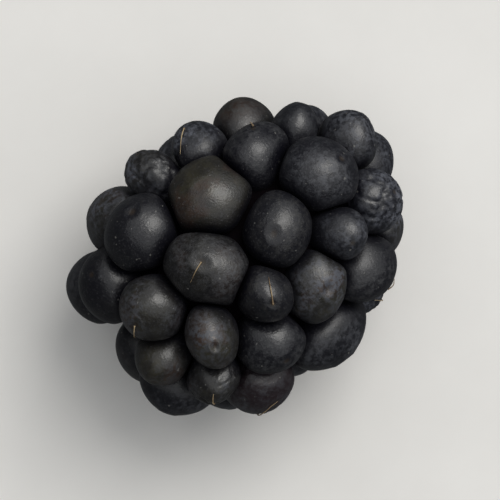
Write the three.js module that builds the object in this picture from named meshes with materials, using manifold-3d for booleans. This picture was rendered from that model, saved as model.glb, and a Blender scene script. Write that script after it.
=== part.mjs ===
// A ripe bramble berry as picked, lying on its side. Millimetres, +Z up.
//
// The fruit is a head of drupelets, small round fruits each with its own stone, that grew packed together
// round a fleshy torus. The torus came away from the stalk with the fruit, and its pale end shows in the
// middle of the drupelets at one end. +X runs from that end to the tip, and the origin is on the surface
// under the middle of the fruit.
//
// The drupelets sit in a spiral on an egg-shaped shell, each a golden angle further round than the one
// before. A seeded draw gives each its size, then they push each other apart until they pack.

import * as THREE from "three";
import { mergeVertices } from "three/addons/utils/BufferGeometryUtils.js";
import Module from "manifold-3d";

// The whole fruit, as it lies
const FRUIT_LENGTH = 23.6;
const FRUIT_WIDTH = 19.8;
const FRUIT_HEIGHT = 18.8;
const SHOULDER = 0.1; // how much fuller the end by the torus is than the tip
const CROWN_SETBACK = 1.9; // how far the shell's end at the torus lies beyond the first drupelets
const TORUS_OPENING = THREE.MathUtils.degToRad(33); // from the shell's end to the first drupelets

// The drupelets
const DRUPELET_COUNT = 47;
const DRUPELET_WIDTH = 4.62;
const DRUPELET_RISE = 2.55; // from the shell to a drupelet's top
const WIDTH_SPREAD = 0.24;
const END_TAPER = 0.14; // how much smaller the drupelets at both ends are
const FULLNESS = 1.14; // how much wider a drupelet would grow if its neighbours let it
const LONGEST = 1.16; // length over mean width of the most oval outline
const LEAN = THREE.MathUtils.degToRad(10);
const POINTEDNESS = 0.1; // how much a drupelet narrows towards its top
const STANDS_OUT = 0.42; // how far a drupelet's middle is off the shell at most, outwards or inwards
const RISE_SPREAD = 0.08;

// The spiral and the packing
const SEED = 85036015;
const GOLDEN_ANGLE = Math.PI * (3 - Math.sqrt(5));
const JITTER = 0.45; // radians
const SETTLE_PASSES = 80;
const SETTLE_PITCH = 1.04;
const SETTLE_STEP = 0.25;
const AREA_STEPS = 240;

// How it comes to rest: turned a little until three drupelets carry it, each pressed flat there
const ROLL = THREE.MathUtils.degToRad(3.5);
const PITCH = THREE.MathUtils.degToRad(4);
const PRESSED = 0.6;

// The flesh under the drupelets
const FLESH_SHARE = 0.98; // of the shell that the drupelets are on
const FLESH_END = -8.4; // where it stops behind the end of the torus

// The torus: a plug with a wavy outline, moulded by the drupelets round it
const TORUS_RADIUS = 2.5;
const TORUS_DEPTH = 5.2;
const TORUS_FACE = -8.9; // its end, along X from the shell's middle
const TORUS_GAP = 0.3;

// Facets
const DRUPELET_DETAIL = 2;
const FLESH_DETAIL = 3;
const TORUS_SIDES = 28;

const HALF_LENGTH = (FRUIT_LENGTH + CROWN_SETBACK) / 2 - DRUPELET_RISE;
const HALF_WIDTH = FRUIT_WIDTH / 2 - DRUPELET_RISE;
const HALF_HEIGHT = FRUIT_HEIGHT / 2 - DRUPELET_RISE;

const wasm = await Module();
wasm.setup();

// A Lehmer generator: the same draws from the same seed.
function seededDraw(seed) {
  let state = seed;
  return () => {
    state = (state * 16807) % 2147483647;
    return state / 2147483647;
  };
}

// A point of the shell that carries the drupelets. polar runs from 0 at the torus to PI at the tip,
// and turn goes round the fruit.
function shellPoint(polar, turn) {
  const girth = Math.sin(polar) * (1 + SHOULDER * Math.cos(polar));
  return new THREE.Vector3(
    -HALF_LENGTH * Math.cos(polar),
    HALF_WIDTH * girth * Math.cos(turn),
    HALF_HEIGHT * girth * Math.sin(turn),
  );
}

// The shell's polar angle and turn nearest to a point, kept clear of the torus.
function shellAngles(point) {
  const cosine = -point.x / HALF_LENGTH;
  const y = point.y / HALF_WIDTH;
  const z = point.z / HALF_HEIGHT;
  const sine = Math.hypot(y, z) / (1 + SHOULDER * THREE.MathUtils.clamp(cosine, -1, 1));
  return [Math.max(Math.atan2(sine, cosine), TORUS_OPENING), Math.atan2(z, y)];
}

// The polar angle up to which the shell holds a given share of its area, counted from the opening.
function polarAtShare(share) {
  const polars = [TORUS_OPENING];
  const areas = [0];
  const step = (Math.PI - TORUS_OPENING) / AREA_STEPS;
  for (let i = 1; i <= AREA_STEPS; i += 1) {
    polars.push(TORUS_OPENING + i * step);
    const band = shellPoint(polars[i], 0).distanceTo(shellPoint(polars[i - 1], 0));
    const radius = shellPoint(polars[i] - step / 2, 0).y;
    areas.push(areas[i - 1] + band * radius);
  }
  const wanted = share * areas[AREA_STEPS];
  const next = areas.findIndex((area) => area >= wanted);
  const part = (wanted - areas[next - 1]) / (areas[next] - areas[next - 1]);
  return polars[next - 1] + part * step;
}

// The drupelets along the spiral, each with its place on the shell and its width.
function spiral(draw) {
  const start = 2 * Math.PI * draw();
  return Array.from({ length: DRUPELET_COUNT }, (_, i) => {
    const polar = polarAtShare((i + 0.5) / DRUPELET_COUNT) + JITTER * (draw() - 0.5);
    const turn = start + i * GOLDEN_ANGLE + JITTER * (draw() - 0.5);
    const middle = Math.sin(THREE.MathUtils.clamp(polar, 0, Math.PI));
    const taper = 1 - END_TAPER + END_TAPER * middle;
    const width = DRUPELET_WIDTH * (1 + WIDTH_SPREAD * (2 * draw() - 1)) * taper;
    return { place: shellPoint(polar, turn), width };
  });
}

// Neighbours that are too close push each other along the shell until they pack evenly.
function settle(drupelets) {
  for (let pass = 0; pass < SETTLE_PASSES; pass += 1) {
    const pushed = drupelets.map(({ place, width }) => {
      const moved = place.clone();
      for (const other of drupelets) {
        const apart = place.clone().sub(other.place);
        const distance = apart.length();
        const wanted = (SETTLE_PITCH * (width + other.width)) / 2;
        if (distance > 0 && distance < wanted)
          moved.addScaledVector(apart, (SETTLE_STEP * (wanted - distance)) / distance);
      }
      return moved;
    });
    drupelets.forEach((drupelet, i) => {
      drupelet.place = shellPoint(...shellAngles(pushed[i]));
    });
  }
}

// Gives a drupelet its half axes: the long and the short way of its oval outline, and outwards with a
// lean. It also stands a little out of the shell, or sinks in.
function orient(drupelet, draw) {
  const { place, width } = drupelet;
  const out = new THREE.Vector3(
    place.x / HALF_LENGTH ** 2,
    place.y / HALF_WIDTH ** 2,
    place.z / HALF_HEIGHT ** 2,
  ).normalize();
  const along = new THREE.Vector3(1, 0, 0).cross(out).normalize();
  along.applyAxisAngle(out, Math.PI * draw());
  out.applyAxisAngle(along, LEAN * (2 * draw() - 1));
  const across = out.clone().cross(along);
  const stretch = 1 + (LONGEST - 1) * draw();
  place.addScaledVector(out, STANDS_OUT * (2 * draw() - 1));
  drupelet.axes = [
    along.multiplyScalar((FULLNESS * width * stretch) / 2),
    across.multiplyScalar((FULLNESS * width) / stretch / 2),
    out.multiplyScalar(DRUPELET_RISE * (1 + RISE_SPREAD * (2 * draw() - 1))),
  ];
}

// A geometry's triangles as a solid. Only position is kept, so that shared corners merge.
function solidOf(geometry) {
  geometry.deleteAttribute("normal");
  geometry.deleteAttribute("uv");
  const merged = mergeVertices(geometry, 1e-4);
  const vertProperties = merged.attributes.position.array;
  const triVerts = new Uint32Array(merged.index.array);
  return new wasm.Manifold(new wasm.Mesh({ numProp: 3, vertProperties, triVerts }));
}

// A solid's surface as a geometry with flat facets.
function geometryOf(solid) {
  const { vertProperties, triVerts } = solid.getMesh();
  const indexed = new THREE.BufferGeometry()
    .setAttribute("position", new THREE.BufferAttribute(vertProperties, 3))
    .setIndex(new THREE.BufferAttribute(triVerts, 1));
  const faceted = indexed.toNonIndexed();
  faceted.computeVertexNormals();
  return faceted;
}

// One drupelet: a ball drawn out along its axes, narrower towards its top.
function drupeletSolid({ place, axes }) {
  const ball = new THREE.IcosahedronGeometry(1, DRUPELET_DETAIL);
  const points = ball.attributes.position;
  for (let i = 0; i < points.count; i += 1) {
    const narrow = 1 - POINTEDNESS * Math.max(points.getZ(i), 0);
    points.setX(i, points.getX(i) * narrow);
    points.setY(i, points.getY(i) * narrow);
  }
  ball.applyMatrix4(new THREE.Matrix4().makeBasis(...axes).setPosition(place));
  return solidOf(ball);
}

// The flesh that the drupelets grow from.
function fleshSolid() {
  const flesh = new THREE.IcosahedronGeometry(1, FLESH_DETAIL);
  flesh.scale(HALF_LENGTH, HALF_WIDTH, HALF_HEIGHT);
  flesh.scale(FLESH_SHARE, FLESH_SHARE, FLESH_SHARE);
  return solidOf(flesh).trimByPlane([1, 0, 0], FLESH_END);
}

// The torus, grown by a margin on every side: a tapered root and a face with a shallow pit.
function torusSolid(margin) {
  const outline = [
    [0, -TORUS_DEPTH - margin],
    [TORUS_RADIUS * 0.42 + margin, -TORUS_DEPTH * 0.94],
    [TORUS_RADIUS * 0.86 + margin, -TORUS_DEPTH * 0.4],
    [TORUS_RADIUS + margin, -TORUS_DEPTH * 0.12],
    [TORUS_RADIUS * 0.9 + margin, 0.05 * TORUS_RADIUS + margin],
    [TORUS_RADIUS * 0.5, 0.1 * TORUS_RADIUS + margin],
    [TORUS_RADIUS * 0.22, 0.04 * TORUS_RADIUS + margin],
    [0, -0.06 * TORUS_RADIUS + margin],
  ].map(([x, y]) => new THREE.Vector2(x, y));
  const plug = new THREE.LatheGeometry(outline, TORUS_SIDES);
  const points = plug.attributes.position;
  for (let i = 0; i < points.count; i += 1) {
    const turn = Math.atan2(points.getZ(i), points.getX(i));
    const wave = 1 + 0.09 * Math.cos(7 * turn) + 0.06 * Math.cos(3 * turn + 1);
    points.setX(i, points.getX(i) * wave);
    points.setZ(i, points.getZ(i) * wave);
  }
  plug.rotateZ(Math.PI / 2);
  plug.translate(TORUS_FACE, 0, 0);
  return solidOf(plug);
}

const lie = new THREE.Matrix4()
  .makeRotationY(PITCH)
  .multiply(new THREE.Matrix4().makeRotationX(ROLL));

const draw = seededDraw(SEED);
const drupelets = spiral(draw);
settle(drupelets);
for (const drupelet of drupelets) {
  orient(drupelet, draw);
  drupelet.place.applyMatrix4(lie);
  drupelet.axes.forEach((axis) => axis.applyMatrix4(lie));
}

// The largest body of the union leaves out any pocket that is sealed in among the drupelets.
const headSolid = drupelets
  .map(drupeletSolid)
  .reduce((head, drupelet) => head.add(drupelet), fleshSolid().transform(lie.elements))
  .subtract(torusSolid(TORUS_GAP).transform(lie.elements))
  .decompose()
  .sort((one, other) => other.volume() - one.volume())[0];
const { min, max } = headSolid.boundingBox();
const floor = min[2] + PRESSED;
const restingHead = headSolid.trimByPlane([0, 0, 1], floor);

function mesh(name, solid, color, roughness) {
  const made = new THREE.Mesh(
    geometryOf(solid),
    new THREE.MeshStandardMaterial({ color, roughness, metalness: 0 }),
  );
  made.name = name;
  return made;
}

const skinColor = 0x16131a;
const torusColor = 0x8a7c2c;

const berry = new THREE.Group();
berry.add(mesh("drupelets", restingHead, skinColor, 0.35));
berry.add(mesh("torus", torusSolid(0).transform(lie.elements), torusColor, 0.8));
berry.position.set(-(min[0] + max[0]) / 2, -(min[1] + max[1]) / 2, -floor);

export default berry;
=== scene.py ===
"""The look of a ripe bramble berry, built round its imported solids. Metres, +Z up, +X towards the tip."""
import math
from collections import namedtuple

import bmesh
import bpy
import numpy as np
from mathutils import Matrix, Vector


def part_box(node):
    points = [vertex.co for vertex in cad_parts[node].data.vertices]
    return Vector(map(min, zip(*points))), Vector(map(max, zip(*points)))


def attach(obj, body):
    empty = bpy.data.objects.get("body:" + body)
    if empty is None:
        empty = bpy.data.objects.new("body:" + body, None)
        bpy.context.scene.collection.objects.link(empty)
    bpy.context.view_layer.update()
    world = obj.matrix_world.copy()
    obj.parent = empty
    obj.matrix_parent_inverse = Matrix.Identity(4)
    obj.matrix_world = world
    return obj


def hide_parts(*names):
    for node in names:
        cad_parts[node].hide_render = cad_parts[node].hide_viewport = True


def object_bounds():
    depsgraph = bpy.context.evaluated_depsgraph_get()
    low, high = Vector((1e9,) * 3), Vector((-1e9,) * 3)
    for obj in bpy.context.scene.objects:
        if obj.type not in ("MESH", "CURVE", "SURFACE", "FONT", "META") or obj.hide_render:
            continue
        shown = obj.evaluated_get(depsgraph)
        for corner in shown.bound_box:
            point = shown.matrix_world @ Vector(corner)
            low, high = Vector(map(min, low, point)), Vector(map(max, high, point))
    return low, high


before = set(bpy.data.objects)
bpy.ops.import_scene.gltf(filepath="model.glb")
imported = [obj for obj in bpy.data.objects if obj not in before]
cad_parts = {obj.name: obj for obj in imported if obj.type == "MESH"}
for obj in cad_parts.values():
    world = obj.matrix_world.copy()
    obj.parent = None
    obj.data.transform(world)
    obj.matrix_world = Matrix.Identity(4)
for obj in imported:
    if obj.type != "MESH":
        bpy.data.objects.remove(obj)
cad_low, cad_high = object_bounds()
drupelets_low, drupelets_high = (np.array(corner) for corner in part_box("drupelets"))

MM = 0.001

# The same fruit as the solids: sizes in millimetres, angles in radians
FRUIT_LENGTH = 23.6
FRUIT_WIDTH = 19.8
FRUIT_HEIGHT = 18.8
SHOULDER = 0.1 # how much fuller the fruit is towards its stem end
CROWN_SETBACK = 1.9 # what the opening takes off the length at the stem end
TORUS_OPENING = math.radians(33) # from the axis to the edge of the opening that the drupelets leave
DRUPELET_COUNT = 47
DRUPELET_WIDTH = 4.62
DRUPELET_RISE = 2.55
WIDTH_SPREAD = 0.24
END_TAPER = 0.14
FULLNESS = 1.14 # of an oval over its share of the shell, so that neighbours press on each other
LONGEST = 1.16
LEAN = math.radians(10)
POINTEDNESS = 0.1
STANDS_OUT = 0.42 # how far a drupelet may stand out of the shell, or back
RISE_SPREAD = 0.08
SEED = 85036015
LEHMER_MULTIPLIER = 16807
LEHMER_MODULUS = 2147483647
GOLDEN_ANGLE = math.pi * (3 - math.sqrt(5))
JITTER = 0.45
SETTLE_PASSES = 80
SETTLE_PITCH = 1.04
SETTLE_STEP = 0.25
AREA_STEPS = 240
ROLL = math.radians(3.5)
PITCH = math.radians(4)
TORUS_RADIUS = 2.5
TORUS_FACE = -8.9

HALF = np.array([
    (FRUIT_LENGTH + CROWN_SETBACK) / 2 - DRUPELET_RISE,
    FRUIT_WIDTH / 2 - DRUPELET_RISE,
    FRUIT_HEIGHT / 2 - DRUPELET_RISE,
])


def seeded_draw(seed):
    """A Lehmer generator: the same draws from the same seed."""
    state = seed

    def draw():
        nonlocal state
        state = state * LEHMER_MULTIPLIER % LEHMER_MODULUS
        return state / LEHMER_MODULUS

    return draw


def shell_point(polar, turn):
    """A point of the egg-shaped shell that the drupelets sit on, from the stem end's pole."""
    girth = np.sin(polar) * (1 + SHOULDER * np.cos(polar))
    return np.stack(
        [-HALF[0] * np.cos(polar), HALF[1] * girth * np.cos(turn), HALF[2] * girth * np.sin(turn)], -1
    )


def shell_angles(points):
    """Angles on the shell for points moved a little off it, kept out of the torus opening."""
    cosine = -points[..., 0] / HALF[0]
    y = points[..., 1] / HALF[1]
    z = points[..., 2] / HALF[2]
    sine = np.hypot(y, z) / (1 + SHOULDER * np.clip(cosine, -1, 1))
    return np.maximum(np.arctan2(sine, cosine), TORUS_OPENING), np.arctan2(z, y)


def polar_table():
    """Polar angles, and the share of the shell's area up to each, counted from the opening."""
    polars = np.linspace(TORUS_OPENING, math.pi, AREA_STEPS + 1)
    line = shell_point(polars, 0.0)
    bands = np.linalg.norm(line[1:] - line[:-1], axis=1)
    radii = shell_point((polars[1:] + polars[:-1]) / 2, 0.0)[:, 1]
    shares = np.concatenate([[0], np.cumsum(bands * radii)])
    return polars, shares / shares[-1]


def turned(vector, axis, angle):
    """A vector turned round a unit axis."""
    return (
        vector * math.cos(angle)
        + np.cross(axis, vector) * math.sin(angle)
        + axis * np.dot(axis, vector) * (1 - math.cos(angle))
    )


def pushed_apart(places, widths):
    """Places on the shell after the drupelets have pushed each other to their spacing."""
    wanted = SETTLE_PITCH * (widths[:, None] + widths[None]) / 2
    far_from_itself = np.eye(len(places)) * FRUIT_LENGTH
    for _ in range(SETTLE_PASSES):
        apart = places[:, None] - places[None]
        distance = np.linalg.norm(apart, axis=2) + far_from_itself
        push = np.where(distance < wanted, SETTLE_STEP * (wanted - distance) / distance, 0)
        places = shell_point(*shell_angles(places + (push[:, :, None] * apart).sum(1)))
    return places


def arrange():
    """Places and half axes of the drupelets: one row each, the axes as columns of a matrix."""
    draw = seeded_draw(SEED)
    polars, shares = polar_table()
    start = 2 * math.pi * draw()
    places, widths = [], []
    for i in range(DRUPELET_COUNT):
        polar = np.interp((i + 0.5) / DRUPELET_COUNT, shares, polars) + JITTER * (draw() - 0.5)
        turn = start + i * GOLDEN_ANGLE + JITTER * (draw() - 0.5)
        taper = 1 - END_TAPER + END_TAPER * math.sin(min(max(polar, 0), math.pi))
        widths.append(DRUPELET_WIDTH * (1 + WIDTH_SPREAD * (2 * draw() - 1)) * taper)
        places.append(shell_point(polar, turn))
    places = pushed_apart(np.array(places), np.array(widths))
    axes = []
    for place, width in zip(places, widths):
        out = place / HALF**2
        out /= np.linalg.norm(out)
        along = np.cross([1.0, 0, 0], out)
        along = turned(along / np.linalg.norm(along), out, math.pi * draw())
        out = turned(out, along, LEAN * (2 * draw() - 1))
        across = np.cross(out, along)
        stretch = 1 + (LONGEST - 1) * draw()
        place += out * STANDS_OUT * (2 * draw() - 1)
        rise = DRUPELET_RISE * (1 + RISE_SPREAD * (2 * draw() - 1))
        half_width = FULLNESS * width / 2
        axes.append(np.stack(
            [along * half_width * stretch, across * half_width / stretch, out * rise], 1
        ))
    return places, np.array(axes)


def lie_matrix():
    """How the fruit is turned to lie on its three lowest drupelets."""
    cosine, sine = math.cos(ROLL), math.sin(ROLL)
    roll = np.array([[1, 0, 0], [0, cosine, -sine], [0, sine, cosine]])
    cosine, sine = math.cos(PITCH), math.sin(PITCH)
    pitch = np.array([[cosine, 0, sine], [0, 1, 0], [-sine, 0, cosine]])
    return pitch @ roll


# Drupelets in fine mesh

SPHERE_DIVISIONS = 5
TOP_DENSITY = 0.62 # spacing of the mesh at a drupelet's top, as a share of an even one
TOP_EASE = 1.5 # how fast the spacing evens out away from the top
ROOT_DEPTH = 0.75 # of the inner half of the oval
PRESS_GAP = 0.02 # what is left open between pressed drupelets, as a share of the way to the contact
PRESS_SHARPNESS = 9.0
LEAST_SHARE = 0.05 # of a ray that a neighbour leaves over
LINEAR_BELOW = 1e-6 # a quadratic's leading factor under which it is solved as a line
REACH = 8.0 # millimetres within which a neighbour can touch
DRUPELET_SEEDS = 1000 # added to a drupelet's number

# Relief, as shares of a drupelet's size, with widths in radians and tilts off its top in degrees
WAVE_SPREAD = (0.6, 1.5) # of the frequencies in a sum of waves, over the one asked for
UNEVENNESS = 0.015
FINE_UNEVENNESS = 0.0015
DENTED = 0.4 # share of the drupelets with a soft dent
DENT_TILT = (20, 50)
DENT_DEPTH = (0.03, 0.07)
DENT_WIDTH = (0.35, 0.55)
SCAR_TILT = (3, 26)
SCAR_WIDTH = (0.10, 0.15)
SCAR_DEPTH = (0.01, 0.06)
SCAR_RIM = 0.35 # height of the rim round a scar, as a share of its depth
RIM_PLACE = 2.0 # in widths of the scar
RIM_WIDTH = 0.6
WRINKLED_COUNT = 7
WRINKLED_SEED = 182232
WRINKLE_SEEDS = 2000 # added to a drupelet's number
WRINKLE_DEPTH = 0.047
FINE_WRINKLES = 0.5 # depth of the fine wrinkles, as a share of the coarse ones
WRINKLE_COVER = 0.95 # how much of a wrinkled drupelet they cover
COVER_SPREAD = 0.45


def sphere(divisions):
    """Vertices and triangles of a round mesh."""
    bm = bmesh.new()
    bmesh.ops.create_icosphere(bm, subdivisions=divisions, radius=1)
    bm.verts.index_update()
    points = np.array([v.co for v in bm.verts])
    faces = np.array([[v.index for v in f.verts] for f in bm.faces])
    bm.free()
    return points / np.linalg.norm(points, axis=1)[:, None], faces


def dense_top(points):
    """The same sphere with its vertices drawn towards +Z."""
    angle = np.arccos(np.clip(points[:, 2], -1, 1))
    share = angle / math.pi
    angle_drawn = angle * (TOP_DENSITY + (1 - TOP_DENSITY) * share**TOP_EASE)
    ring = np.hypot(points[:, 0], points[:, 1])
    unit = points[:, :2] / np.maximum(ring, 1e-9)[:, None]
    return np.column_stack([unit * np.sin(angle_drawn)[:, None], np.cos(angle_drawn)])


class Waves:
    """Smooth seeded unevenness over directions or points: a sum of a few sine waves."""

    def __init__(self, rng, count, frequency):
        directions = rng.normal(size=(count, 3))
        self.k = directions / np.linalg.norm(directions, axis=1)[:, None] * frequency
        self.k *= rng.uniform(*WAVE_SPREAD, (count, 1))
        self.phase = rng.uniform(0, 2 * math.pi, count)

    def __call__(self, points):
        return np.sin(points @ self.k.T + self.phase).sum(1) / math.sqrt(len(self.phase) / 2)


def near_top(rng, least, most):
    """A unit vector some degrees off a drupelet's own +Z."""
    tilt = math.radians(rng.uniform(least, most))
    side = rng.uniform(0, 2 * math.pi)
    return np.array([math.sin(tilt) * math.cos(side), math.sin(tilt) * math.sin(side), math.cos(tilt)])


def away_from(unit, direction):
    """Angles between unit vectors and one direction."""
    return np.arccos(np.clip(unit @ direction, -1, 1))


def mound(away, width):
    """One at the middle, falling off smoothly over a width."""
    return np.exp(-((away / width) ** 2))


def valleys(unit, rng, frequency, width):
    """One along the lines where smooth waves pass through zero, and less away from them."""
    return mound(Waves(rng, 9, frequency)(unit), width)


def wrinkles(unit, rng):
    """Shrivelled skin: coarse and fine valleys, deeper in some places."""
    coarse = valleys(unit, rng, frequency=7.0, width=0.32)
    fine = valleys(unit, rng, frequency=12.0, width=0.4)
    where = np.clip(WRINKLE_COVER + COVER_SPREAD * Waves(rng, count=3, frequency=1.6)(unit), 0, 1)
    return -WRINKLE_DEPTH * (coarse + FINE_WRINKLES * fine) * where


def pressed_share(i, places, axes, rays, own):
    """What is left of each ray from a drupelet's middle to its oval, once the neighbours press on it.

    A point at the share t of its ray has the measure t * own in this oval. The contact surface is where
    it has the same measure in the neighbour's oval, which gives a quadratic a * t**2 + b * t + c = 0.
    """
    press = np.ones(len(rays))
    for j in range(len(places)):
        if j == i or np.linalg.norm(places[j] - places[i]) > REACH:
            continue
        inverse = np.linalg.inv(axes[j])
        p = inverse @ (places[i] - places[j])
        q = rays @ inverse.T
        a = (q * q).sum(1) - own**2
        b = 2 * q @ p
        c = p @ p
        root = b * b - 4 * a * c
        safe = np.sqrt(np.maximum(root, 0))
        with np.errstate(divide="ignore", invalid="ignore"):
            t_low = np.where(np.abs(a) > LINEAR_BELOW, (-b - safe) / (2 * a), -c / b)
            t_high = np.where(np.abs(a) > LINEAR_BELOW, (-b + safe) / (2 * a), -c / b)
        t_low = np.where((root >= 0) & (t_low > 0), t_low, np.inf)
        t_high = np.where((root >= 0) & (t_high > 0), t_high, np.inf)
        t = np.minimum(t_low, t_high) * (1 - PRESS_GAP)
        press += np.where(np.isfinite(t), np.maximum(t, LEAST_SHARE) ** -PRESS_SHARPNESS, 0)
    return press ** (-1 / PRESS_SHARPNESS)


Drupelet = namedtuple("Drupelet", "points share from_scar scar")


def grow_drupelet(i, places, axes):
    """One drupelet: an oval pressed against its neighbours, uneven, with the scar of its style."""
    rng = np.random.default_rng(DRUPELET_SEEDS + i)
    narrow = 1 - POINTEDNESS * np.maximum(unit[:, 2:], 0)
    ball = np.column_stack([unit[:, :2] * narrow, unit[:, 2]])
    ball[:, 2] = np.where(ball[:, 2] < 0, ball[:, 2] * ROOT_DEPTH, ball[:, 2])
    rays = ball @ axes[i].T
    share = pressed_share(i, places, axes, rays, np.linalg.norm(ball, axis=1))

    relief = UNEVENNESS * Waves(rng, count=6, frequency=2.2)(unit)
    relief += FINE_UNEVENNESS * Waves(rng, count=8, frequency=6.0)(unit)
    if rng.random() < DENTED:
        dent = near_top(rng, *DENT_TILT)
        depth = rng.uniform(*DENT_DEPTH)
        relief -= depth * mound(away_from(unit, dent), rng.uniform(*DENT_WIDTH))
    scar = near_top(rng, *SCAR_TILT)
    away = away_from(unit, scar)
    wide = rng.uniform(*SCAR_WIDTH)
    deep = rng.uniform(*SCAR_DEPTH)
    relief -= deep * mound(away, wide)
    relief += SCAR_RIM * deep * mound(away - RIM_PLACE * wide, RIM_WIDTH * wide)
    if i in wrinkled:
        relief += wrinkles(unit, np.random.default_rng(WRINKLE_SEEDS + i))
    share = share * (1 + relief)
    return Drupelet(places[i] + rays * share[:, None], share, away / wide, scar)


sphere_points, faces = sphere(SPHERE_DIVISIONS)
unit = dense_top(sphere_points)
wrinkled = np.random.default_rng(WRINKLED_SEED).permutation(DRUPELET_COUNT)[:WRINKLED_COUNT]
lie = lie_matrix()
places, axes = arrange()
places = places @ lie.T
axes = np.einsum("ab,nbc->nac", lie, axes)
grown = [grow_drupelet(i, places, axes) for i in range(DRUPELET_COUNT)]

# Where the fruit goes: into the box of its solids, standing on the floor with its lowest drupelets pressed

INSET = 0.998
TOP_CLEARANCE = 0.01
FLOOR_ROUNDING = 0.1

everything = np.concatenate([drupelet.points for drupelet in grown])
low, high = everything.min(0), everything.max(0)
middle = (low + high) / 2
box_size = (drupelets_high - drupelets_low) / MM
shrink = INSET * min(1, *(box_size[:2] / (high - low)[:2]))


def settle_down(points):
    """Millimetres of the fruit's own frame to metres of the row frame, pressed flat at the floor."""
    placed = (points - [middle[0], middle[1], high[2]]) * shrink
    placed[:, :2] += (drupelets_low + drupelets_high)[:2] / 2 / MM
    placed[:, 2] += drupelets_high[2] / MM - TOP_CLEARANCE
    z = placed[:, 2]
    placed[:, 2] = (z + np.sqrt(z * z + FLOOR_ROUNDING**2)) / 2
    return placed * MM


def new_object(name, points, polygons, smooth=True):
    mesh = bpy.data.meshes.new(name)
    mesh.from_pydata(points.tolist(), [], [list(map(int, polygon)) for polygon in polygons])
    mesh.validate()
    mesh.update()
    mesh.polygons.foreach_set("use_smooth", [smooth] * len(mesh.polygons))
    made = bpy.data.objects.new(name, mesh)
    bpy.context.scene.collection.objects.link(made)
    return made


def point_values(made, name, values):
    attribute = made.data.attributes.new(name, "FLOAT", "POINT")
    attribute.data.foreach_set("value", np.asarray(values, dtype=np.float32))


def tube_polygons(rings, sides, start=0):
    """Faces of a closed tube whose points run round each ring in turn."""
    polygons = []
    for r in range(rings - 1):
        near = start + r * sides
        far = near + sides
        for s in range(sides):
            t = (s + 1) % sides
            polygons.append([near + s, near + t, far + t, far + s])
    last = start + (rings - 1) * sides
    polygons.append([start + s for s in range(sides)][::-1])
    polygons.append([last + s for s in range(sides)])
    return polygons


# Materials

MIX_SOCKETS = (0, 6, 7) # of a colour mix: the factor, one colour and the other
MIX_RESULT = 2


class Shading:
    """A node material, with a short call for each kind of node that the looks are made of."""

    def __init__(self, name):
        self.material = bpy.data.materials.new(name)
        self.material.use_nodes = True
        self.nodes = self.material.node_tree.nodes
        self.links = self.material.node_tree.links
        self.nodes.clear()
        output = self.nodes.new("ShaderNodeOutputMaterial")
        self.shader = self.nodes.new("ShaderNodeBsdfPrincipled")
        self.links.new(self.shader.outputs["BSDF"], output.inputs["Surface"])
        self.position = self.nodes.new("ShaderNodeTexCoord").outputs["Object"]

    def feed(self, socket, given):
        """Sets a socket to a number or a colour, or links another node's output to it."""
        if isinstance(given, (int, float)):
            socket.default_value = given
        elif isinstance(given, tuple):
            socket.default_value = (*given, 1.0)
        else:
            self.links.new(given, socket)

    def attribute(self, name):
        node = self.nodes.new("ShaderNodeAttribute")
        node.attribute_name = name
        return node.outputs["Fac"]

    def noise(self, scale, detail, roughness=0.5, distortion=0.0):
        node = self.nodes.new("ShaderNodeTexNoise")
        node.inputs["Scale"].default_value = scale
        node.inputs["Detail"].default_value = detail
        node.inputs["Roughness"].default_value = roughness
        node.inputs["Distortion"].default_value = distortion
        self.links.new(self.position, node.inputs["Vector"])
        return node.outputs["Fac"]

    def ramp(self, value, stops):
        node = self.nodes.new("ShaderNodeValToRGB")
        band = node.color_ramp
        while len(band.elements) < len(stops):
            band.elements.new(1.0)
        for element, (position, colour) in zip(band.elements, stops):
            element.position = position
            element.color = (*colour, 1.0)
        self.links.new(value, node.inputs["Fac"])
        return node.outputs["Color"]

    def mix(self, factor, one, other):
        node = self.nodes.new("ShaderNodeMix")
        node.data_type = "RGBA"
        for number, given in zip(MIX_SOCKETS, (factor, one, other)):
            self.feed(node.inputs[number], given)
        return node.outputs[MIX_RESULT]

    def span(self, value, given, wanted):
        """A value carried from the given range to the wanted one, and held at its ends."""
        node = self.nodes.new("ShaderNodeMapRange")
        node.inputs["From Min"].default_value, node.inputs["From Max"].default_value = given
        node.inputs["To Min"].default_value, node.inputs["To Max"].default_value = wanted
        self.links.new(value, node.inputs["Value"])
        return node.outputs["Result"]

    def maths(self, operation, one, other):
        node = self.nodes.new("ShaderNodeMath")
        node.operation = operation
        self.feed(node.inputs[0], one)
        self.feed(node.inputs[1], other)
        return node.outputs[0]

    def bump(self, height, strength, distance, normal=None):
        node = self.nodes.new("ShaderNodeBump")
        node.inputs["Strength"].default_value = strength
        node.inputs["Distance"].default_value = distance
        self.links.new(height, node.inputs["Height"])
        if normal is not None:
            self.links.new(normal, node.inputs["Normal"])
        return node.outputs["Normal"]

    def finish(self, colour, normal):
        """Links the colour and the relief, and gives the material."""
        self.links.new(colour, self.shader.inputs["Base Color"])
        self.links.new(normal, self.shader.inputs["Normal"])
        return self.material


RIPE_DARK = (0.0020, 0.0019, 0.0044)
RIPE = (0.0036, 0.0036, 0.0066)
RIPE_LIGHT = (0.0066, 0.0068, 0.0096)
OLIVE_SKIN = (0.052, 0.0460, 0.0230)
OLIVE_FLUSH = (0.050, 0.0150, 0.0100)
RED_SKIN = (0.036, 0.0105, 0.0095)
THIN_WAX = (0.0295, 0.0288, 0.0272)
THICK_WAX = (0.0640, 0.0690, 0.0860)
SPECK_GREY = (0.046, 0.046, 0.051)
DUST_GREY = (0.120, 0.117, 0.110)
# Painted shade: the near-black violet that the skin is given in the creases, where neighbours shade it
CREASE_PAINTED_SHADE = (0.0036, 0.0033, 0.0080)
SCAR_BROWN = (0.030, 0.019, 0.010)


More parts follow.
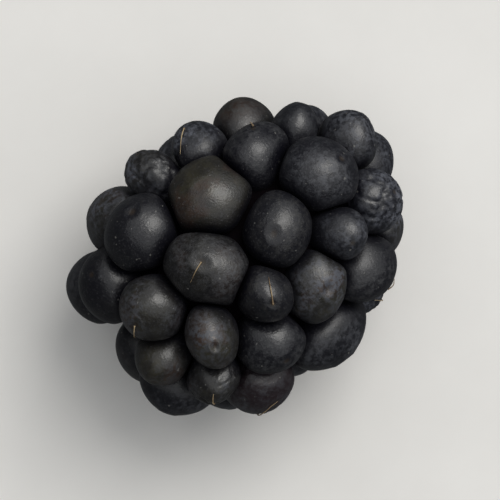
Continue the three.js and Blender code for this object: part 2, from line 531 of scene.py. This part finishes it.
def ripe_colour(skin, cloud, blotch, top):
    """Near-black violet, with olive drupelets that have a red flush, and a few red ones. The olive fades
    towards each drupelet's foot, which paints shade there.
    """
    base = skin.ramp(skin.attribute("tone"), [(0.0, RIPE_DARK), (0.55, RIPE), (1.0, RIPE_LIGHT)])
    # Painted shade: the olive is kept to each drupelet's top and fades down its flanks
    unripe_fading_to_shade = skin.maths("MULTIPLY", skin.attribute("olive"), top)
    unripe_fading_to_shade = skin.maths("MULTIPLY", unripe_fading_to_shade, skin.span(blotch, (0.36, 0.64), (0.55, 1.3)))
    base = skin.mix(unripe_fading_to_shade, base, OLIVE_SKIN)
    flush = skin.maths("MULTIPLY", unripe_fading_to_shade, skin.span(cloud, (0.53, 0.62), (0.0, 0.9)))
    base = skin.mix(flush, base, OLIVE_FLUSH)
    return skin.mix(skin.attribute("redness"), base, RED_SKIN)


def waxy_film_and_shade(skin, cloud, blotch, top, crease, bloom_and_rim_sheen):
    """How thick the waxy coat is, in clouds and mottles. It is made thin in the creases and towards each
    drupelet's foot, which paints shade there.
    """
    mottle = skin.noise(scale=3000.0, detail=3.0, roughness=0.65)
    wax_and_shade = skin.span(cloud, (0.41, 0.64), (0.0, 0.75))
    wax_and_shade = skin.maths("ADD", wax_and_shade, skin.span(blotch, (0.45, 0.7), (0.0, 0.35)))
    wax_and_shade = skin.maths("MULTIPLY", wax_and_shade, skin.span(mottle, (0.42, 0.59), (0.1, 1.8)))
    wax_and_shade = skin.maths("ADD", wax_and_shade, 0.05)
    # Painted shade: the pale wax is taken away in the creases
    wax_and_shade = skin.maths("MULTIPLY", wax_and_shade, skin.maths("SUBTRACT", 1.0, crease))
    wax_and_shade = skin.maths("MULTIPLY", wax_and_shade, bloom_and_rim_sheen)
    # Painted shade: less pale wax towards each drupelet's foot
    return skin.maths("MULTIPLY", wax_and_shade, skin.span(top, (0.0, 0.8), (0.2, 1.0)))


def skin_material():
    skin = Shading("drupelet_skin")
    top = skin.attribute("top")
    crease = skin.attribute("crease")
    bloom_and_rim_sheen = skin.attribute("bloom_and_rim_sheen")
    cloud = skin.noise(scale=330.0, detail=4.0, roughness=0.6)
    blotch = skin.noise(scale=1100.0, detail=3.0, roughness=0.6, distortion=0.4)
    grain = skin.noise(scale=6500.0, detail=2.0, roughness=0.6)
    fleck = skin.noise(scale=4300.0, detail=0.0)

    base = ripe_colour(skin, cloud, blotch, top)
    wax_and_shade = waxy_film_and_shade(skin, cloud, blotch, top, crease, bloom_and_rim_sheen)
    base = skin.mix(wax_and_shade, base, skin.mix(skin.span(bloom_and_rim_sheen, (0.4, 0.9), (0.0, 1.0)), THIN_WAX, THICK_WAX))
    base = skin.mix(skin.span(grain, (0.58, 0.70), (0.0, 0.6)), base, SPECK_GREY)
    base = skin.mix(skin.span(fleck, (0.82, 0.85), (0.0, 0.9)), base, DUST_GREY)
    # Painted shade: the skin is darkened in the creases between drupelets
    base = skin.mix(crease, base, CREASE_PAINTED_SHADE)

    # The dry brown point in the middle of the scar, fading out at its edge
    from_scar = skin.span(skin.attribute("scar"), (0.0, 4.0), (0.0, 1.0))
    steps = ((0.0, 0.75), (0.14, 0.35), (0.24, 0.0), (1.0, 0.0))
    ring = skin.ramp(from_scar, [(place, (strength,) * 3) for place, strength in steps])
    base = skin.mix(ring, base, SCAR_BROWN)

    # Glossy where the wax is thin, duller towards the foot of a drupelet
    rough = skin.span(wax_and_shade, (0.0, 1.0), (0.29, 0.54))
    rough = skin.maths("ADD", rough, skin.span(top, (0.1, 0.7), (0.15, 0.0)))
    skin.links.new(rough, skin.shader.inputs["Roughness"])
    skin.shader.inputs["IOR"].default_value = 1.57
    pits = skin.bump(grain, strength=0.5, distance=0.00004)
    return skin.finish(base, skin.bump(blotch, strength=0.25, distance=0.0001, normal=pits))


def flesh_shade_material():
    flesh = Shading("flesh_painted_shade")
    grain = flesh.noise(scale=900.0, detail=4.0, roughness=0.6)
    # Painted shade: the flesh is near-black to stand for the shade deep in the grooves
    colour = flesh.ramp(grain, [(0.3, (0.0008, 0.0004, 0.0009)), (0.7, (0.003, 0.0014, 0.0024))])
    flesh.shader.inputs["Roughness"].default_value = 0.8
    flesh.shader.inputs["Specular IOR Level"].default_value = 0.04
    return flesh.finish(colour, flesh.bump(grain, strength=0.4, distance=0.0001))


def torus_material():
    torus = Shading("torus_flesh")
    patch = torus.noise(scale=420.0, detail=4.0, roughness=0.6)
    grain = torus.noise(scale=1900.0, detail=4.0, roughness=0.65)
    colour = torus.ramp(patch, [
        (0.28, (0.070, 0.048, 0.007)),
        (0.5, (0.205, 0.160, 0.022)),
        (0.72, (0.36, 0.31, 0.075)),
    ])
    colour = torus.mix(torus.span(grain, (0.45, 0.68), (0.0, 0.75)), colour, (0.055, 0.036, 0.009))
    torus.shader.inputs["Roughness"].default_value = 0.62
    return torus.finish(colour, torus.bump(grain, strength=0.9, distance=0.00022))


def style_material():
    style = Shading("dry_style")
    patch = style.noise(scale=1200.0, detail=3.0, roughness=0.6)
    colour = style.ramp(patch, [(0.3, (0.10, 0.055, 0.025)), (0.7, (0.44, 0.34, 0.20))])
    style.shader.inputs["Roughness"].default_value = 0.7
    return style.finish(colour, style.bump(patch, strength=0.5, distance=0.00005))


def floor_material():
    paper = Shading("floor_pale")
    grain = paper.noise(scale=90.0, detail=5.0, roughness=0.6)
    colour = paper.ramp(grain, [(0.3, (0.785, 0.772, 0.745)), (0.7, (0.825, 0.812, 0.785))])
    paper.links.new(colour, paper.shader.inputs["Base Color"])
    paper.shader.inputs["Roughness"].default_value = 0.75
    return paper.material


# The drupelets, in three pieces along the fruit

DRUPELET_PIECES = ("drupelets_stem_end", "drupelets_middle", "drupelets_tip")
TINT_SEED = 31856
OLIVE_SHARE = 0.3 # of the drupelets
OLIVE_STRENGTH = (0.15, 0.5)
RED_SHARE = 0.08
RED_STRENGTH = (0.2, 0.4)
BLOOM = 0.6
BLOOM_SPREAD = (-0.3, 0.4)
LEAST_BLOOM = 0.05
BLOOM_AND_RIM_SHEEN_OFF_TOP = 0.25 # less wax on a drupelet facing up, so the ones facing sideways look paler: partly real wax, partly painted rim sheen
WRINKLED_BLOOM = 0.25 # more of it on a wrinkled one
CREASE_START = 0.97 # share of a ray below which the skin counts as creased
CREASE_SPAN = 0.25 # further share over which the crease gets full


def drupelet_tints():
    """What the skin material reads, with one value for each drupelet."""
    rng = np.random.default_rng(TINT_SEED)

    def some(share, strength):
        chosen = rng.random(DRUPELET_COUNT) < share
        return np.where(chosen, rng.uniform(*strength, DRUPELET_COUNT), 0.0)

    tone = rng.uniform(0, 1, DRUPELET_COUNT)
    olive = some(OLIVE_SHARE, OLIVE_STRENGTH)
    redness = some(RED_SHARE, RED_STRENGTH)
    upward = axes[:, 2, 2] / np.linalg.norm(axes[:, :, 2], axis=1)
    # Partly painted rim sheen: drupelets facing sideways get more of the pale wax
    bloom_and_rim_sheen = BLOOM - BLOOM_AND_RIM_SHEEN_OFF_TOP * upward + rng.uniform(*BLOOM_SPREAD, DRUPELET_COUNT)
    bloom_and_rim_sheen = np.clip(bloom_and_rim_sheen, LEAST_BLOOM, 1)
    bloom_and_rim_sheen[wrinkled] = np.minimum(bloom_and_rim_sheen[wrinkled] + WRINKLED_BLOOM, 1)
    return {"tone": tone, "olive": olive, "redness": redness, "bloom_and_rim_sheen": bloom_and_rim_sheen}


def build_drupelets(skin):
    tints = drupelet_tints()
    from_stem_end = np.argsort(places[:, 0])
    for name, members in zip(DRUPELET_PIECES, np.array_split(from_stem_end, len(DRUPELET_PIECES))):
        drupelets = [grown[i] for i in members]
        points = [settle_down(drupelet.points) for drupelet in drupelets]
        polygons = [faces + k * len(unit) for k in range(len(members))]
        piece = new_object(name, np.concatenate(points), np.concatenate(polygons))
        for key, of_each in tints.items():
            point_values(piece, key, np.repeat(of_each[members], len(unit)))
        shares = np.concatenate([drupelet.share for drupelet in drupelets])
        # This crease mask also drives the painted shade in the creases
        point_values(piece, "crease", np.clip((CREASE_START - shares) / CREASE_SPAN, 0, 1))
        point_values(piece, "scar", np.concatenate([drupelet.from_scar for drupelet in drupelets]))
        point_values(piece, "top", np.tile(np.clip(unit[:, 2], 0, 1), len(members)))
        piece.data.materials.append(skin)
        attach(piece, "root")
        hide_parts("drupelets")


# The flesh at the bottom of the grooves, coloured near-black as painted shade

FLESH_SHARE = 0.89 # of the shell that the drupelets sit on
FLESH_SHOULDER = 0.8 # of the shell's own
FLESH_END = -8.4


def build_flesh(stuff):
    shape = sphere_points * HALF * FLESH_SHARE
    shape[:, 1:] *= 1 + SHOULDER * -sphere_points[:, :1] * FLESH_SHOULDER
    shape[:, 0] = np.maximum(shape[:, 0], FLESH_END)
    piece = new_object("flesh", settle_down(shape @ lie.T), faces)
    piece.data.materials.append(stuff)
    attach(piece, "root")


# The torus: its broken face with a hollow in the middle, and the plug behind it

TORUS_SEED = 5
TORUS_RINGS = 46
TORUS_SIDES = 132
TORUS_SLIMNESS = 0.96 # of the solid's radius
TORUS_LOBES = ((7, 0.09, 0), (3, 0.06, 1)) # how many, how high as a share of the radius, and turned by
FACE_PART = 0.55 # share of the rings that make the face
FACE_START = 0.02 # radius of the first ring, as a share
FACE_CROWN = 0.12
FACE_EDGE_DROP = 0.55
EDGE_STEEPNESS = 5
HOLLOW_DEPTH = 0.5
HOLLOW_WIDTH = 0.25 # as a share of the radius
PLUG_LENGTH = 4.2
PLUG_TAPER = 0.55
TAPER_EASE = 1.6
GRAIN_MIDDLE = -0.4 # height over the face at which the broken grain is strongest
GRAIN_WIDTH = 0.9
LUMP_HEIGHT = 0.14
GRAIN_HEIGHT = 0.09


def torus_profile(share):
    """Radius as a share, and height over the face, along the way from its middle to the plug's end."""
    if share < FACE_PART:
        out = share / FACE_PART
        crown = FACE_CROWN - FACE_EDGE_DROP * out**EDGE_STEEPNESS
        return FACE_START + (1 - FACE_START) * out, crown - HOLLOW_DEPTH * mound(out, HOLLOW_WIDTH)
    down = (share - FACE_PART) / (1 - FACE_PART)
    return 1 - PLUG_TAPER * down**TAPER_EASE, FACE_CROWN - FACE_EDGE_DROP - PLUG_LENGTH * down


def build_torus(stuff):
    rng = np.random.default_rng(TORUS_SEED)
    lumps = Waves(rng, count=9, frequency=1.6)
    grains = Waves(rng, count=24, frequency=7.0)
    points = []
    for r in range(TORUS_RINGS):
        girth, height = torus_profile(r / (TORUS_RINGS - 1))
        for s in range(TORUS_SIDES):
            turn = 2 * math.pi * s / TORUS_SIDES
            wave = 1 + sum(lobe * math.cos(count * turn + start) for count, lobe, start in TORUS_LOBES)
            radius = TORUS_RADIUS * TORUS_SLIMNESS * wave * girth
            points.append([height, radius * math.cos(turn), radius * math.sin(turn)])
    points = np.array(points)
    broken = mound(points[:, 0] - GRAIN_MIDDLE, GRAIN_WIDTH)
    points[:, 0] += (LUMP_HEIGHT * lumps(points * [0, 1, 1]) + GRAIN_HEIGHT * grains(points)) * broken
    points[:, 0] = TORUS_FACE - points[:, 0]
    piece = new_object("torus_end", settle_down(points @ lie.T), tube_polygons(TORUS_RINGS, TORUS_SIDES))
    piece.data.materials.append(stuff)
    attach(piece, "root")
    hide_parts("torus")


# The styles: dry threads left on some drupelets

STYLE_COUNT = 11
STYLE_SEED = 31
STYLE_REACH = (0.35, 0.95) # radians over the drupelet
STYLE_LIFT = (0.015, 0.07) # off the drupelet, as a share of its size
STYLE_CURL = (-0.9, 0.9) # radians from foot to end
STYLE_THICK = (0.035, 0.06)
STYLE_TAPER = 0.6
STYLE_FOOT = 1.6 # how much thicker the foot is
STYLE_ARCH = 0.8 # share of its length that arches off the drupelet
STYLE_STEPS = 16
STYLE_SIDES = 6


def style_track(i, rng):
    """The middle line of one thread, bent over its drupelet from the scar."""
    scar = grown[i].scar
    side = turned(np.cross(scar, [0.0, 1, 0]), scar, rng.uniform(0, 2 * math.pi))
    side /= np.linalg.norm(side)
    reach = rng.uniform(*STYLE_REACH)
    lift = rng.uniform(*STYLE_LIFT)
    curl = rng.uniform(*STYLE_CURL)
    track = []
    for s in np.linspace(0, 1, STYLE_STEPS):
        heading = turned(side, scar, curl * s)
        ray = scar * math.cos(reach * s) + heading * math.sin(reach * s)
        arch = math.sin(math.pi * min(s / STYLE_ARCH, 1))
        track.append(places[i] + axes[i] @ ray * (1.0 + lift * arch))
    return np.array(track)


def style_points(i, rng):
    """Rings of points round one thread, thick at its foot and thin at its end."""
    track = style_track(i, rng)
    thick = rng.uniform(*STYLE_THICK)
    along = np.gradient(track, axis=0)
    along /= np.linalg.norm(along, axis=1)[:, None]
    out = axes[i][:, 2] / np.linalg.norm(axes[i][:, 2])
    points = []
    for k in range(STYLE_STEPS):
        across = np.cross(along[k], out)
        across /= np.linalg.norm(across)
        up = np.cross(along[k], across)
        radius = thick * (1 - STYLE_TAPER * k / (STYLE_STEPS - 1)) * (STYLE_FOOT if k == 0 else 1)
        for m in range(STYLE_SIDES):
            angle = 2 * math.pi * m / STYLE_SIDES
            points.append(track[k] + radius * (across * math.cos(angle) + up * math.sin(angle)))
    return points


def build_styles(stuff):
    rng = np.random.default_rng(STYLE_SEED)
    points, polygons = [], []
    for i in rng.permutation(DRUPELET_COUNT)[:STYLE_COUNT]:
        polygons += tube_polygons(STYLE_STEPS, STYLE_SIDES, start=len(points))
        points += style_points(i, rng)
    piece = new_object("styles", settle_down(np.array(points)), polygons)
    piece.data.materials.append(stuff)
    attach(piece, "root")


build_drupelets(skin_material())
build_flesh(flesh_shade_material())
build_torus(torus_material())
build_styles(style_material())


# Floor, light and camera, in metres

FLOOR_HALF = 2.0
FLOOR_DROP = 0.00002 # under the flats that the fruit lies on
SKY_COLOUR = (0.93, 0.97, 1.0, 1.0)
SKY_STRENGTH = 0.08
LIGHTS_AIM = (0, 0, 0.008)
SLANT = math.radians(36) # how the berry's length runs in the picture, up to the right
CAMERA_HEIGHT = 0.27
CAMERA_LENS = 280
CAMERA_SENSOR = 36
CAMERA_CLIP_START = 0.01


def build_floor():
    corners = [(-1, -1), (1, -1), (1, 1), (-1, 1)]
    points = np.array([[x * FLOOR_HALF, y * FLOOR_HALF, 0] for x, y in corners])
    floor = new_object("floor", points, [[0, 1, 2, 3]], smooth=False)
    floor.location.z = -FLOOR_DROP
    # The skin doesn't mirror the floor, which keeps the rims of the drupelets dark
    floor.visible_glossy = False
    floor.data.materials.append(floor_material())


def build_world():
    world = bpy.data.worlds.new("studio")
    world.use_nodes = True
    bpy.context.scene.world = world
    nodes, links = world.node_tree.nodes, world.node_tree.links
    nodes.clear()
    output = nodes.new("ShaderNodeOutputWorld")
    background = nodes.new("ShaderNodeBackground")
    background.inputs["Color"].default_value = SKY_COLOUR
    background.inputs["Strength"].default_value = SKY_STRENGTH
    links.new(background.outputs["Background"], output.inputs["Surface"])


def in_picture(right, up, height):
    """A place given as it is seen in the picture: to the right, up, and towards the camera."""
    return (
        right * math.cos(SLANT) + up * math.sin(SLANT),
        -right * math.sin(SLANT) + up * math.cos(SLANT),
        height,
    )


SCRIM_PLACE = in_picture(right=0.3, up=0.35, height=0.85)
SOFT_BOX_PLACE = in_picture(right=0.36, up=0.44, height=0.8)


def build_light(name, place, size, power, colour):
    data = bpy.data.lights.new(name, "AREA")
    data.shape = "SQUARE"
    data.size = size
    data.energy = power
    data.color = colour
    made = bpy.data.objects.new(name, data)
    made.location = place
    made.rotation_euler = (Vector(LIGHTS_AIM) - Vector(place)).to_track_quat("-Z", "Y").to_euler()
    made.visible_camera = False
    bpy.context.scene.collection.objects.link(made)


def build_camera():
    data = bpy.data.cameras.new("camera")
    data.lens = CAMERA_LENS
    data.sensor_width = CAMERA_SENSOR
    data.clip_start = CAMERA_CLIP_START
    camera = bpy.data.objects.new("camera", data)
    middle_point = (Vector(cad_low) + Vector(cad_high)) / 2
    camera.location = (middle_point.x, middle_point.y, CAMERA_HEIGHT)
    camera.rotation_euler = (0, 0, -SLANT)
    bpy.context.scene.collection.objects.link(camera)
    bpy.context.scene.camera = camera


build_floor()
build_world()
build_light("scrim", SCRIM_PLACE, size=3.2, power=21.0, colour=(0.97, 0.985, 1.0))
build_light("soft_box", SOFT_BOX_PLACE, size=0.65, power=5.6, colour=(1.0, 0.98, 0.945))
build_camera()
bpy.context.scene.view_settings.view_transform = "Standard"
